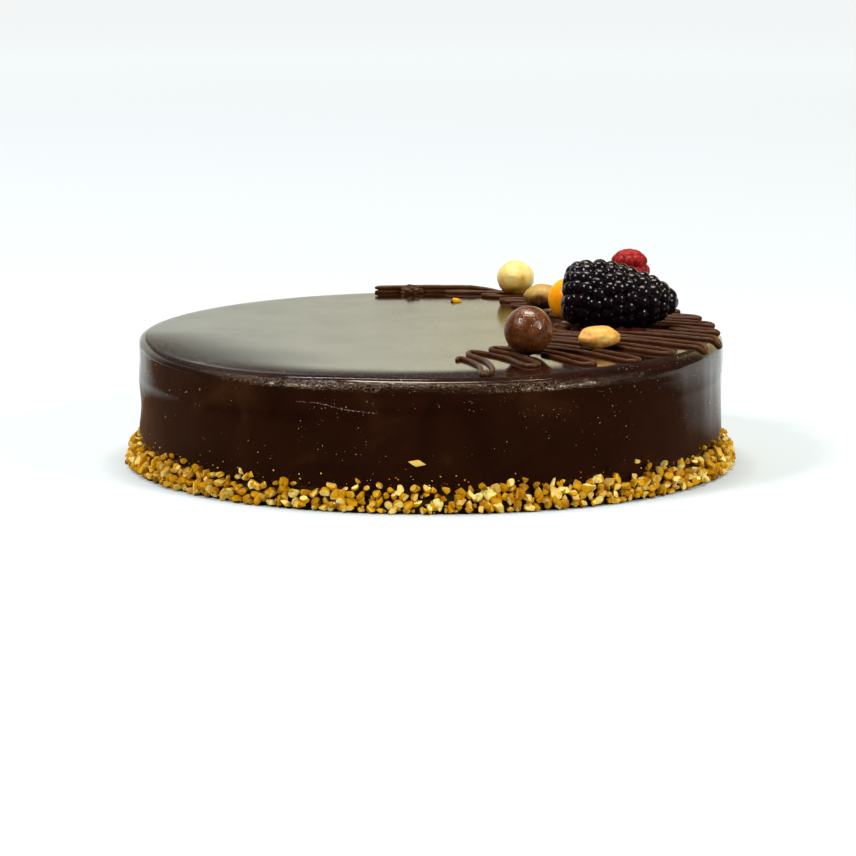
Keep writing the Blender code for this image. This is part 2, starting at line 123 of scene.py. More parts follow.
STRAND_SWELLS = ((0.13, 160), (0.05, 700))

# Chopped nuts: rows round the foot, in millimetres
NUT_ROWS = (
    {"radius": 103.9, "height": 1.6, "spread": 0.8, "sizes": (2.6, 4.1), "count": 200},
    {"radius": 102.9, "height": 3.4, "spread": 0.9, "sizes": (3.0, 4.8), "count": 200},
    {"radius": 102.0, "height": 5.6, "spread": 1.0, "sizes": (2.8, 5.0), "count": 190},
    {"radius": 101.2, "height": 7.8, "spread": 1.1, "sizes": (2.4, 4.5), "count": 170},
    {"radius": 100.7, "height": 9.8, "spread": 1.0, "sizes": (2.0, 3.8), "count": 90},
)

# A bit's form, its cuts and tints, and how the bits pile up
NUT_SHAPE = (0.55, 0.44, 0.34)
NUT_JITTER = 0.35
NUT_TEMPLATES = 18
NUT_SKIN_TINT = 0.6
NUT_LUMPS = (0.24, 1.5)
NUT_CUTS = (3, 4, 4, 5, 6)
CUT_DEPTH = (0.3, 0.72)
CUT_TINT = (0.0, 0.35)
CHIP_ANGLE = math.radians(38)
CHIP_BEVEL = 0.05
HEAP_KEEP = (0.62, 0.30, -0.18)
HEAP_PILES = 1.2
HEAP_TURNS = 3.3
HEAP_REACH = 105.2 * MM

# Crumbs of nut, most at the foot and some higher on the side, in millimetres
CRUMBS = {
    "count": 620, "sizes": (0.7, 2.2), "low": (0.4, 6.0), "out": (3.0, 4.0), "lean": 0.45,
    "high_share": 0.25, "high_size": 0.36, "high_from": 8, "high_spread": 2.6, "stands_out": 0.15,
}

# Specks on the side and along the wrinkle, in millimetres, in patches by a noise: pale dots that are partly
# nut dust and partly painted glints of tiny bubbles
SPECKS = {
    "count": 1500, "below_top": 2, "spread": 14, "lowest": 8, "sizes": (0.05, 0.06, 0.08, 0.13),
    "patches": (3.5, 90, 4.0), "bare_over": -0.06, "per_span": 11, "span_sizes": (0.04, 0.10),
    "span_turn": 0.1, "span_rise": 0.2,
}

# Bits that stuck higher up, and the knot of piping
SIDE_BITS = (
    {"angle": -92.5, "height": 16.1, "size": (6.4, 2.7, 2.4), "tilt": 0},
    {"angle": -66.5, "height": 7.9, "size": (6.4, 2.7, 2.6), "tilt": 50},
    {"angle": -47.0, "height": 12.5, "size": (2.6, 2.0, 1.6), "tilt": 20},
)
TOP_BIT = {"place": (9.5, 73.5), "size": (4.4, 3.2, 2.2), "lift": 0.35}
KNOT = {"place": (-6.5, 94.0), "size": (7.8, 4.6, 4.4), "lift": 0.8, "lumps": (0.30, 2.4)}

# Wrinkle in the glaze under the rounded edge: 100 mm of arc for a radian; its course, in degrees and mm
CREASE_ARC = 100
CREASE_STEPS = 160
CREASE_SIDES = 8
CREASE_RADIUS = 0.075 * MM
CREASE_FLATNESS = 0.7
CREASE_WAVE = (0.30 * MM, 2.2)
CREASE_SWELL = (1.8, 5)
CREASE = ((-116.0, 35.0), (-113.0, 35.1), (-110.0, 34.5), (-106.5, 33.3), (-103.0, 32.8), (-99.5, 32.2))

# Toppings, close to the solids
BALL_PLACE = (32.8, -50.6)
BALL_RADIUS = 8.2 * MM
BALL_FOOT = 4.2 * MM
BALL_LUMPS = (0.006, 260)
ORANGE_PLACE = (48.5, 26.9)
ORANGE_RADIUS = 7.4 * MM
ORANGE_LUMPS = (0.012, 90)
# Each kernel's skin value is the height under which its flesh is painted darker: painted shade underneath
HAZELNUTS = {
    "hazelnut_back": {"place": (30.8, 86.0), "half": (6.7, 6.5, 6.3), "turn": 15, "taper": 0.04,
                      "skin": -0.02, "full": 2.0, "lumps": 0.05},
    "hazelnut_mid": {"place": (40.0, 52.7), "half": (6.9, 5.9, 4.4), "turn": -20, "taper": 0.14,
                     "skin": 0.25, "full": 2.1, "lumps": 0.04},
    "hazelnut_front": {"place": (56.7, -37.7), "half": (6.9, 5.4, 3.7), "turn": 4, "taper": 0.10,
                       "skin": -0.45, "full": 2.2, "lumps": 0.09},
}

# Dark berry, lying on its side: stem end at the left, thickest at its crown, tip at the right
DARK_STEM_X = 45.3 * MM
DARK_CROWN_X = 60.0 * MM
DARK_TIP_X = 85.6 * MM
DARK_RADIUS = 11.65 * MM
DARK_SPINE = ((45.3, 7.4, 55.7), (58.7, 6.3, 55.8), (72.2, 6.1, 53.7), (85.6, 7.4, 52.4))
DARK_PITCH = 4.9 * MM
DARK_FULLNESS = 0.62

# Red berry, standing on its open end
RED_PLACE = (70.0, 40.6)
RED_HEIGHT = 22.85 * MM
RED_RADIUS = 9.6 * MM
RED_PITCH = 4.4 * MM
RED_FULLNESS = 0.60
RED_NARROWING = 0.42
RED_FOOT = 0.22
RED_CROWN = 0.80

# Rows of drupelets, in pitches, and how each strays and varies
BERRY_STEPS = 200
ROW_PITCH = 0.87
ROW_STRAY = 0.14
DRUPELET_SIZES = (0.90, 1.08)
DRUPELET_STRETCH = (0.94, 1.06)
DRUPELET_DEPTH = 0.98

# Hazelnut form: lobes, shade underneath, and the spot where its point was
KERNEL_LOBES = 7
LOBE_DEPTH = 0.018
KERNEL_SHADE = 1.8
KERNEL_SPOT = Vector((0.1, -0.9, 0.1))
SPOT_SIZE = 0.28
SPOT_TINT = 0.85

# Hazelnut flesh: bright top, middle, the darkest colour, which is painted shade underneath and the spot
# where its point was, and stains
KERNEL_COLOURS = {
    "hazelnut_back": ((0.80, 0.62, 0.22), (0.66, 0.42, 0.07), (0.34, 0.14, 0.012), (0.72, 0.47, 0.10)),
    "hazelnut_mid": ((0.42, 0.26, 0.05), (0.20, 0.078, 0.011), (0.045, 0.013, 0.003), (0.30, 0.15, 0.028)),
    "hazelnut_front": ((0.72, 0.36, 0.07), (0.86, 0.56, 0.14), (0.55, 0.24, 0.035), (0.56, 0.22, 0.03)),
}

# Camera that matches the photograph's view
CAMERA_PLACE = (-0.00071, -1.699, 0.299)
CAMERA_PITCH = math.radians(9.62)
CAMERA_LENS = 210.3


# Shader helpers

def new_material(name):
    material = bpy.data.materials.new(name)
    material.use_nodes = True
    tree = material.node_tree
    return material, tree, tree.nodes["Principled BSDF"]


def feed(socket, value):
    """Gives a socket a constant, or links it to another node's output."""
    if isinstance(value, bpy.types.NodeSocket):
        socket.id_data.links.new(value, socket)
    else:
        socket.default_value = value


def set_inputs(shader, **inputs):
    """Feeds a node's sockets by their names, in which _ stands for a space."""
    for key, value in inputs.items():
        feed(shader.inputs[key.replace("_", " ")], value)


def add_node(tree, kind, settings=None, **inputs):
    """A node with its settings, whose inputs are constants or other nodes' outputs."""
    made = tree.nodes.new(kind)
    for key, value in (settings or {}).items():
        setattr(made, key, value)
    set_inputs(made, **inputs)
    return made


def grain(tree, scale, detail=3.0, roughness=0.5, distortion=0.0):
    """A noise value over the object's own coordinates; the scale is in turns per metre."""
    coords = add_node(tree, "ShaderNodeTexCoord").outputs["Object"]
    made = add_node(
        tree, "ShaderNodeTexNoise", Vector=coords, Scale=scale, Detail=detail,
        Roughness=roughness, Distortion=distortion,
    )
    return made.outputs["Fac"]


def ramp(tree, value, stops):
    """A colour ramp over the value; each stop is a place and a colour."""
    made = add_node(tree, "ShaderNodeValToRGB", Fac=value)
    band = made.color_ramp.elements
    band[0].position, band[0].color = stops[0][0], (*stops[0][1], 1.0)
    band[1].position, band[1].color = stops[-1][0], (*stops[-1][1], 1.0)
    for place, colour in stops[1:-1]:
        band.new(place).color = (*colour, 1.0)
    return made.outputs["Color"]


def spread(tree, value, low, high, to_low, to_high):
    """The value's stretch from low to high, mapped to another stretch."""
    ends = {"From_Min": low, "From_Max": high, "To_Min": to_low, "To_Max": to_high}
    return add_node(tree, "ShaderNodeMapRange", Value=value, **ends).outputs["Result"]


def mixed(tree, share, first, second):
    """A blend of two colours, each a node's output or a constant; the share is a node's output."""
    made = add_node(tree, "ShaderNodeMix", {"data_type": "RGBA"})
    sockets = [item for item in made.inputs if item.enabled]
    for socket, value in zip(sockets, (share, first, second)):
        feed(socket, (*value, 1.0) if isinstance(value, tuple) else value)
    return next(item for item in made.outputs if item.enabled)


def maths(tree, operation, *values):
    made = add_node(tree, "ShaderNodeMath", {"operation": operation})
    for socket, value in zip(made.inputs, values):
        feed(socket, value)
    return made.outputs["Value"]


def times(tree, first, second):
    return maths(tree, "MULTIPLY", first, second)


def pits(tree, scale, size):
    """Small round pits and bubbles: 1 on most of the surface, 0 in a pit's middle."""
    coords = add_node(tree, "ShaderNodeTexCoord").outputs["Object"]
    cells = add_node(tree, "ShaderNodeTexVoronoi", Vector=coords, Scale=scale).outputs["Distance"]
    return spread(tree, cells, 0.0, size, 0.0, 1.0)


def bump(tree, shader, *layers):
    """Chained bumps; each layer is a height value and its depth in metres."""
    normal = None
    for height, depth in layers:
        made = add_node(tree, "ShaderNodeBump", Height=height, Distance=depth, Strength=1.0)
        if normal:
            set_inputs(made, Normal=normal)
        normal = made.outputs["Normal"]
    set_inputs(shader, Normal=normal)


# Materials

def glaze_material():
    material, tree, shader = new_material("glaze")
    # Browner patches by a noise over the dark glaze: a painted reflection of a warm board below
    cloud = grain(tree, 45, detail=4, distortion=0.6)
    colour = ramp(tree, cloud, (
        (0.35, (0.0085, 0.0019, 0.0008)),
        (0.58, (0.014, 0.0032, 0.0013)),
        (0.75, (0.028, 0.0095, 0.003)),
    ))
    coords = add_node(tree, "ShaderNodeTexCoord").outputs["Object"]
    axes = add_node(tree, "ShaderNodeSeparateXYZ", Vector=coords).outputs
    dull_foot = spread(tree, axes["Z"], 5 * MM, 8 * MM, 0.7, 0.0)
    rough = maths(tree, "MAXIMUM", spread(tree, grain(tree, 60), 0.35, 0.75, 0.07, 0.12), dull_foot)
    set_inputs(shader, Base_Color=colour, Roughness=rough, IOR=1.46, Specular_Tint=(0.80, 0.62, 0.42, 1.0))
    above = spread(tree, axes["Z"], 37 * MM, 39 * MM, 0.0, 1.0)
    below = spread(tree, axes["Z"], 41.7 * MM, 42.35 * MM, 1.0, 0.0)
    front = spread(tree, axes["Y"], -75 * MM, -55 * MM, 1.0, 0.0)
    edge = times(tree, times(tree, above, below), front)
    bubbles = times(tree, edge, spread(tree, grain(tree, 1300, detail=3), 0.42, 0.62, 0.0, 1.0))
    runs = times(tree, edge, grain(tree, 110, detail=2, distortion=0.6))
    bump(
        tree, shader, (pits(tree, 1500, 0.22), 0.00004), (grain(tree, 1500, detail=2), 0.000012),
        (bubbles, 0.00007), (runs, 0.0008),
    )
    return material


def nut_material(name, pale, golden, brown, depth):
    """Nut flesh whose tint runs from pale cut faces to a toasted outside, with flecks and pits."""
    material, tree, shader = new_material(name)
    tint = add_node(tree, "ShaderNodeAttribute", {"attribute_name": "tint"}).outputs["Fac"]
    toasted = ramp(tree, tint, ((0.04, pale), (0.36, golden), (1.0, brown)))
    flecks = spread(tree, grain(tree, 520, detail=5, roughness=0.6), 0.50, 0.68, 0.0, 0.8)
    flecked = mixed(tree, flecks, toasted, golden)
    stains = spread(tree, grain(tree, 300, detail=3), 0.56, 0.72, 0.0, 0.75)
    stained = mixed(tree, stains, flecked, brown)
    set_inputs(
        shader, Base_Color=stained, Roughness=0.38, IOR=1.20, Subsurface_Weight=0.08,
        Subsurface_Scale=0.001, Subsurface_Radius=(1.0, 0.5, 0.2),
    )
    bump(tree, shader, (grain(tree, 700, detail=4), depth), (grain(tree, 2400), depth / 3))
    return material


def kernel_material(name, top, middle, low, stain):
    """A hazelnut's flesh: the tint runs from its bright top to its darkest colour, which is painted shade
    underneath and the spot where its point was.
    """
    material, tree, shader = new_material(name)
    tint = add_node(tree, "ShaderNodeAttribute", {"attribute_name": "tint"}).outputs["Fac"]
    base = ramp(tree, tint, ((0.0, top), (0.5, middle), (1.0, low)))
    cloud = spread(tree, grain(tree, 190, detail=5), 0.48, 0.70, 0.0, 0.7)
    colour = mixed(tree, cloud, base, stain)
    set_inputs(
        shader, Base_Color=colour, Roughness=0.38, IOR=1.36, Subsurface_Weight=0.12,
        Subsurface_Scale=0.0015, Subsurface_Radius=(1.0, 0.5, 0.2),
    )
    bump(tree, shader, (grain(tree, 240, detail=4), 0.0007), (grain(tree, 1500), 0.00006))
    return material


# Plain finishes: the colours' noise and stops, inputs, and bumps with their maker, numbers and depth
SKINS = {
    "piped_chocolate": {
        "noise": (260,), "stops": ((0.3, (0.042, 0.0135, 0.0034)), (0.7, (0.078, 0.026, 0.0070))),
        "inputs": {"Roughness": 0.38, "IOR": 1.24},
        "bumps": ((grain, (900,), 0.00005), (pits, (900, 0.25), 0.00004)),
    },
    "milk_chocolate": {
        "noise": (420, 5), "stops": ((0.3, (0.062, 0.0155, 0.0030)), (0.7, (0.145, 0.044, 0.010))),
        "inputs": {"Roughness": 0.20, "IOR": 1.47},
        "bumps": ((pits, (1000, 0.35), 0.00012), (grain, (900, 4), 0.00018)),
    },
    "orange_skin": {
        "noise": (160,), "stops": ((0.3, (0.96, 0.30, 0.0)), (0.7, (1.0, 0.37, 0.0))),
        "inputs": {"Roughness": 0.32, "IOR": 1.22, "Subsurface_Weight": 0.4,
                   "Subsurface_Scale": 0.003, "Subsurface_Radius": (1.0, 0.25, 0.02)},
        "bumps": ((grain, (900,), 0.00003),),
    },
    "dark_skin": {
        "noise": (300,), "stops": ((0.35, (0.0018, 0.0012, 0.0024)), (0.75, (0.0085, 0.0022, 0.0050))),
        "inputs": {"Roughness": 0.20, "IOR": 1.33},
        "bumps": ((grain, (700,), 0.00010),),
    },
    "red_skin": {
        "noise": (260, 4), "stops": ((0.3, (0.20, 0.0030, 0.0038)), (0.7, (0.32, 0.011, 0.009))),
        "inputs": {"Roughness": 0.42, "IOR": 1.24, "Subsurface_Weight": 0.3,
                   "Subsurface_Scale": 0.002, "Subsurface_Radius": (1.0, 0.12, 0.10)},
        "bumps": ((grain, (1200,), 0.00008),),
    },
    # Pale specks: partly the colour of nut dust, partly painted glints of tiny bubbles in the glaze
    "dust_and_glint_specks": {
        "noise": (600,), "stops": ((0.3, (0.38, 0.26, 0.15)), (0.65, (0.88, 0.80, 0.66))),
        "inputs": {"Roughness": 0.3}, "bumps": (),
    },
}


def skin_material(name):
    look = SKINS[name]
    material, tree, shader = new_material(name)
    colour = ramp(tree, grain(tree, *look["noise"]), look["stops"])
    set_inputs(shader, Base_Color=colour, **look["inputs"])
    if look["bumps"]:
        bump(tree, shader, *[(make(tree, *numbers), depth) for make, numbers, depth in look["bumps"]])
    return material


# Mesh helpers

class Heap:
    """Many small meshes gathered into one, with a tint for each face."""

    def __init__(self):
        self.points = []
        self.faces = []
        self.tints = []
        self.count = 0

    def add(self, points, faces, matrix, tints):
        turn = np.array(matrix.to_3x3())
        self.points.append(points @ turn.T + np.array(matrix.translation))
        self.faces.append(faces + self.count)
        self.tints.append(tints)
        self.count += len(points)

    def piece(self, name, material):
        mesh = bpy.data.meshes.new(name)
        mesh.from_pydata(np.concatenate(self.points), [], np.concatenate(self.faces).tolist())
        tint = mesh.attributes.new("tint", "FLOAT", "FACE")
        tint.data.foreach_set("value", np.concatenate(self.tints).astype(np.float32))
        return link_piece(name, mesh, material, 34)


def link_piece(name, mesh, material, sharp=None):
    """A smooth piece with one finish; edges that turn by more than the sharp degrees stay sharp."""
    mesh.materials.append(material)
    mesh.shade_smooth()
    if sharp:
        mesh.set_sharp_from_angle(angle=math.radians(sharp))
    made = bpy.data.objects.new(name, mesh)
    bpy.context.scene.collection.objects.link(made)
    return made


def mesh_from(name, builder):
    mesh = bpy.data.meshes.new(name)
    builder.to_mesh(mesh)
    builder.free()
    return mesh


def ball_arrays(detail):
    """Corners and triangles of a unit icosphere."""
    builder = bmesh.new()
    bmesh.ops.create_icosphere(builder, subdivisions=detail, radius=1.0)
    builder.verts.ensure_lookup_table()
    points = np.array([corner.co[:] for corner in builder.verts])
    faces = np.array([[corner.index for corner in face.verts] for face in builder.faces])
    builder.free()
    return points, faces


def add_tube(builder, rings):
    """Faces between rings of corners, and one at each end."""
    for near, far in zip(rings, rings[1:]):
        for step in range(len(near)):
            after = (step + 1) % len(near)
            builder.faces.new((near[step], near[after], far[after], far[step]))
    builder.faces.new(rings[0])
    builder.faces.new(rings[-1])


def random_way(rng):
    return Vector([rng.gauss(0, 1) for _ in range(3)]).normalized()


def random_turn(rng):
    axis = random_way(rng)
    return Matrix.Rotation(rng.uniform(0, 2 * math.pi), 4, axis)


def round_noise(angle, turns, height):
    """A noise that closes round the cake; more turns make it finer."""
    return noise.noise(Vector((math.cos(angle) * turns, math.sin(angle) * turns, height)))


# Curves, as in the solids

def smooth_path(points, per_span):
    """A centripetal Catmull-Rom curve through the points."""
    first = points[0] * 2 - points[1]
    last = points[-1] * 2 - points[-2]
    chain = [first, *points, last]
    path = []
    for a, b, c, d in zip(chain, chain[1:], chain[2:], chain[3:]):
        knot_b = math.sqrt((b - a).length)
        knot_c = knot_b + math.sqrt((c - b).length)
        knot_d = knot_c + math.sqrt((d - c).length)
        for step in range(per_span):
            t = knot_b + (knot_c - knot_b) * step / per_span
            ab = a.lerp(b, t / knot_b)
            bc = b.lerp(c, (t - knot_b) / (knot_c - knot_b))
            cd = c.lerp(d, (t - knot_c) / (knot_d - knot_c))
            abc = ab.lerp(bc, t / knot_c)
            bcd = bc.lerp(cd, (t - knot_b) / (knot_d - knot_b))
            path.append(abc.lerp(bcd, (t - knot_b) / (knot_c - knot_b)))
    path.append(points[-1])
    return path


def evenly_spaced(path, count):
    lengths = [0.0]
    for start, end in zip(path, path[1:]):
        lengths.append(lengths[-1] + (end - start).length)
    picked = []
    for index in range(count):
        target = lengths[-1] * index / (count - 1)
        span = min(bisect_right(lengths, target), len(path) - 1)
        share = (target - lengths[span - 1]) / (lengths[span] - lengths[span - 1])
        picked.append(path[span - 1].lerp(path[span], share))
    return picked


# Cake surface

def shoulder_size(angle):
    """Radius of the rounded edge of the top, which is softest at the front."""
    return SHOULDER + FRONT_SHOULDER * max(0.0, -math.sin(angle)) ** 1.5


def top_rise(spot):
    """How far the top lies over its height at the middle: it rises to the back and the right."""
    across = spot.x / CAKE_RADIUS
    along = spot.y / CAKE_RADIUS
    return BACK_RISE * (across * across + along * along + along) + RIGHT_RISE * across


def side_wave(angle, height):
    """How far the glaze swells out of the round at a place on the side."""
    swell = SWELL * math.sin(3 * angle + 0.6) * math.cos(2 * angle - 0.4)
    phase = 2 * math.pi * (height - RIPPLE_LEVEL) / RIPPLE_HEIGHT + RIPPLE_SLANT * math.sin(2 * angle)
    ripple = RIPPLE * math.sin(phase) * (0.55 - 0.45 * math.cos(angle))
    bulge = RIM_BULGE * (1 - max(0.0, -math.sin(angle)))
    bulge *= max(0.0, 1 - ((height - RIM_HEIGHT) / RIM_REACH) ** 2)
    fade = min(1.0, max(0.0, (CAKE_HEIGHT - height) / shoulder_size(angle)))
    return (swell + ripple + bulge) * fade


def over_edge(angle, radius, lift):
    """Reach and height over the rounded edge, at a radius between the flat top and the side."""
    size = shoulder_size(angle)
    slope = math.asin(min(1.0, (radius - CAKE_RADIUS + size) / size))
    outward = Vector((math.cos(angle), math.sin(angle)))
    height = CAKE_HEIGHT + top_rise(outward * radius) - size + (size + lift) * math.cos(slope)
    reach = CAKE_RADIUS - size + (size + lift) * math.sin(slope) + side_wave(angle, height)
    return outward.x * reach, outward.y * reach, height


def edge_drop(angle, radius):
    """How far the top's edge droops at the front and, more broadly, at the front left."""
    from_front = math.remainder(angle - DROOP_ANGLE, 2 * math.pi)
    facing = max(0.0, math.cos(min(DROOP_NARROWNESS * abs(from_front), math.pi)))
    patch = 1 - DROOP_PATCHES + DROOP_PATCHES * math.sin(5 * angle + 1.0)
    edge = CAKE_RADIUS - shoulder_size(angle)
    share = min(1.0, max(0.0, radius - DROOP_START) / (edge - DROOP_START))
    aside = math.remainder(angle - LEFT_ANGLE, 2 * math.pi) / LEFT_WIDTH
    left = max(0.0, 1 - aside * aside) ** 2
    left_share = min(1.0, max(0.0, radius - LEFT_START) / (edge - LEFT_START))
    return DROOP_DEPTH * facing ** DROOP_FALL * patch * share ** 2 + LEFT_DEPTH * left * left_share ** 2


def drape(spot, lift):
    """A point lifted off the cake's surface, over the place that it has in plan."""
    radius = spot.length
    angle = math.atan2(spot.y, spot.x)
    size = shoulder_size(angle)
    if radius <= CAKE_RADIUS - size:
        return Vector((spot.x, spot.y, CAKE_HEIGHT + lift + top_rise(spot) - edge_drop(angle, radius)))
    steepest = CAKE_RADIUS - size + STEEPEST * size
    return Vector(over_edge(angle, min(radius, steepest), lift)) - Vector((0, 0, edge_drop(angle, radius)))


def fold(angle, height):
    """Soft upright folds and fine waves of the glaze on the side."""
    folds = round_noise(angle, FOLD_TURNS, height * FOLD_RISE)
    slant = (angle * 16 + height * 30) * FINE_SLANT
    fine = round_noise(angle, FINE_TURNS, slant + height * FINE_RISE)
    return FOLD_DEPTH * folds + FINE_WAVE * fine


def side_reach(angle, height):
    """How far the glaze lies from the cake's middle at a place on the side."""
    return CAKE_RADIUS + side_wave(angle, height) + fold(angle, height)


def glaze_ring(angle):
    """The half outline at one angle, with the droop, the folds and the fine waves."""
    outward = Vector((math.cos(angle), math.sin(angle)))
    size = shoulder_size(angle)
    flat = CAKE_RADIUS - size
    ring = []
    for level in range(1, TOP_RINGS + 1):
        radius = flat * (level / TOP_RINGS) ** TOP_SPACING
        spot = outward * radius
        wave = noise.noise(Vector((*spot, 0)) * TOP_FINENESS) * min(1.0, radius / TOP_CALM)
        height = CAKE_HEIGHT + top_rise(spot) + TOP_WAVE * wave - edge_drop(angle, radius)
        ring.append((spot.x, spot.y, height))
    for level in range(1, SHOULDER_RINGS + 1):
        slope = math.pi / 2 * level / SHOULDER_RINGS
        spot = Vector(over_edge(angle, flat + size * math.sin(slope), 0.0))
        out = fold(angle, spot.z) * math.sin(slope)
        drop = edge_drop(angle, flat) * math.cos(slope)
        ring.append((spot.x + outward.x * out, spot.y + outward.y * out, spot.z - drop))
    start = ring[-1][2]
    for level in range(1, SIDE_RINGS + 1):
        height = start + (FOOT_HEIGHT - start) * level / SIDE_RINGS
        reach = side_reach(angle, height)
        ring.append((outward.x * reach, outward.y * reach, height))
    for width, height in ((FOOT_WIDTH * FOOT_BELLY, FOOT_HEIGHT * FOOT_BELLY), (FOOT_WIDTH, 0.0)):
        reach = CAKE_RADIUS + width
        ring.append((outward.x * reach, outward.y * reach, height))
    return ring


def glaze_piece(material):
    builder = bmesh.new()
    middle = builder.verts.new((0.0, 0.0, CAKE_HEIGHT))
    base = builder.verts.new((0.0, 0.0, 0.0))
    rings = []
    for turn in range(GLAZE_TURNS):
        ring = glaze_ring(2 * math.pi * turn / GLAZE_TURNS)
        rings.append([builder.verts.new(spot) for spot in ring])
    for here, after in zip(rings, rings[1:] + rings[:1]):
        builder.faces.new((middle, here[0], after[0]))
        for level in range(len(here) - 1):
            builder.faces.new((here[level], here[level + 1], after[level + 1], after[level]))
        builder.faces.new((here[-1], base, after[-1]))
    return link_piece("glaze", mesh_from("glaze", builder), material, 60)


# Piped zigzag

def zigzag_plan(rng):
    """The whole zigzag in plan, as one fine path."""
    inner_ends = [Vector(spot) * MM for spot in INNER_ENDS]
    outer_ends = [Vector(spot) * MM for spot in OUTER_ENDS]
    corners = []

    def add_loop(ends, index):
        last = len(ends) - 1
        along = (ends[min(index + 1, last)] - ends[max(index - 1, 0)]).normalized()
        across = Vector((along.y, -along.x)) * rng.uniform(-LOOP_WOBBLE, LOOP_WOBBLE)
        middle = ends[index] + across
        corners.append(middle - along * LOOP_HALF_WIDTH)
        corners.append(middle + along * LOOP_HALF_WIDTH)

    def add_stroke(start, end, side):
        stroke = end - start
        bulge = Vector((-stroke.y, stroke.x)) * (side * STROKE_BULGE)
        corners.append(start + stroke / 2 + bulge)

    for index, outer_end in enumerate(outer_ends):
        add_loop(inner_ends, index)
        add_stroke(inner_ends[index], outer_end, 1)
        add_loop(outer_ends, index)
        add_stroke(outer_end, inner_ends[index + 1], -1)
    corners.append(inner_ends[-1])
    return smooth_path(corners, PATH_STEPS)


def foot_half(half_wide, half_tall):
    """How near to a rounded topping's middle a strand may come."""
    reach = min(STRAND_LIFT + STRAND_RADIUS - GAP, half_tall)
    share = math.sqrt(1 - (1 - reach / half_tall) ** 2)
    return half_wide * share + STRAND_RADIUS + GAP


def topping_feet():
    """The ellipses of the cake's top that the toppings keep free of strands."""
    ball = BALL_FOOT
    orange = foot_half(ORANGE_RADIUS, ORANGE_RADIUS)
    red = RED_RADIUS + STRAND_RADIUS
    dark_wide = foot_half(DARK_RADIUS, DARK_RADIUS)
    dark_long = (DARK_TIP_X - DARK_STEM_X) / 2
    dark_middle = Vector(((DARK_TIP_X + DARK_STEM_X) / 2, DARK_SPINE[1][1] * MM))
    feet = [
        (Vector(BALL_PLACE) * MM, ball, ball),
        (Vector(ORANGE_PLACE) * MM, orange, orange),
        (Vector(RED_PLACE) * MM, red, red),
        (dark_middle, dark_long, dark_wide),
    ]
    for nut in HAZELNUTS.values():
        wide, deep, tall = (half * MM for half in nut["half"])
        feet.append((Vector(nut["place"]) * MM, foot_half(wide, tall), foot_half(deep, tall)))
    return feet


def strand_runs(plan):
    """The zigzag cut into runs that stay clear of the toppings; its last stroke lies double."""
    feet = topping_feet()
    runs = [[]]
    for spot in plan:
        offsets = [(spot - place, wide, deep) for place, wide, deep in feet]
        under = any((off.x / wide) ** 2 + (off.y / deep) ** 2 < 1 for off, wide, deep in offsets)
        if under and runs[-1]:
            runs.append([])
        if not under:
            runs[-1].append(drape(spot, STRAND_LIFT))
    runs = [run for run in runs if len(run) > SHORTEST_RUN]
    upper = []
    for index, spot in enumerate(runs[-1][-PILE_POINTS:]):
        upper.append(spot + Vector((0, 0, PILE_LIFT * min(1.0, index / PILE_START))))
    return runs + [upper]


def tube_rings(path):
    """A round strand along the path, which swells and thins a little, with rounded ends."""
    count = max(4, round(sum((b - a).length for a, b in zip(path, path[1:])) / STRAND_STEP))
    spots = evenly_spaced(path, count)
    rings = []
    for index, spot in enumerate(spots):
        ahead = spots[min(index + 1, count - 1)] - spots[max(index - 1, 0)]
        heading = ahead.normalized()
        side = heading.cross(Vector((0, 0, 1))).normalized()
        up = side.cross(heading)
        swell = sum(depth * noise.noise(spot * fineness) for depth, fineness in STRAND_SWELLS)
        thick = STRAND_RADIUS * (1.0 + swell)
        from_end = min(index, count - 1 - index)
        thick *= STRAND_END[from_end] if from_end < len(STRAND_END) else 1.0
        rings.append([
            spot + (side * math.cos(turn) + up * math.sin(turn)) * thick
            for turn in (2 * math.pi * step / STRAND_SIDES for step in range(STRAND_SIDES))
        ])
    return rings


def zigzag_piece(rng, material):
    builder = bmesh.new()
    for run in strand_runs(zigzag_plan(rng)):
        add_tube(builder, [[builder.verts.new(spot) for spot in ring] for ring in tube_rings(run)])
    knot = bmesh.ops.create_icosphere(builder, subdivisions=5, radius=1.0)["verts"]
    middle = drape(Vector(KNOT["place"]) * MM, KNOT["lift"] * MM)
    depth, fineness = KNOT["lumps"]
    for corner in knot:
        lump = 1 + depth * noise.noise(corner.co * fineness)
        corner.co = middle + Vector([a * b / 2 * MM * lump for a, b in zip(corner.co, KNOT["size"])])
    bmesh.ops.recalc_face_normals(builder, faces=builder.faces)
    return link_piece("piped_zigzag", mesh_from("piped_zigzag", builder), material)


# Chopped nuts

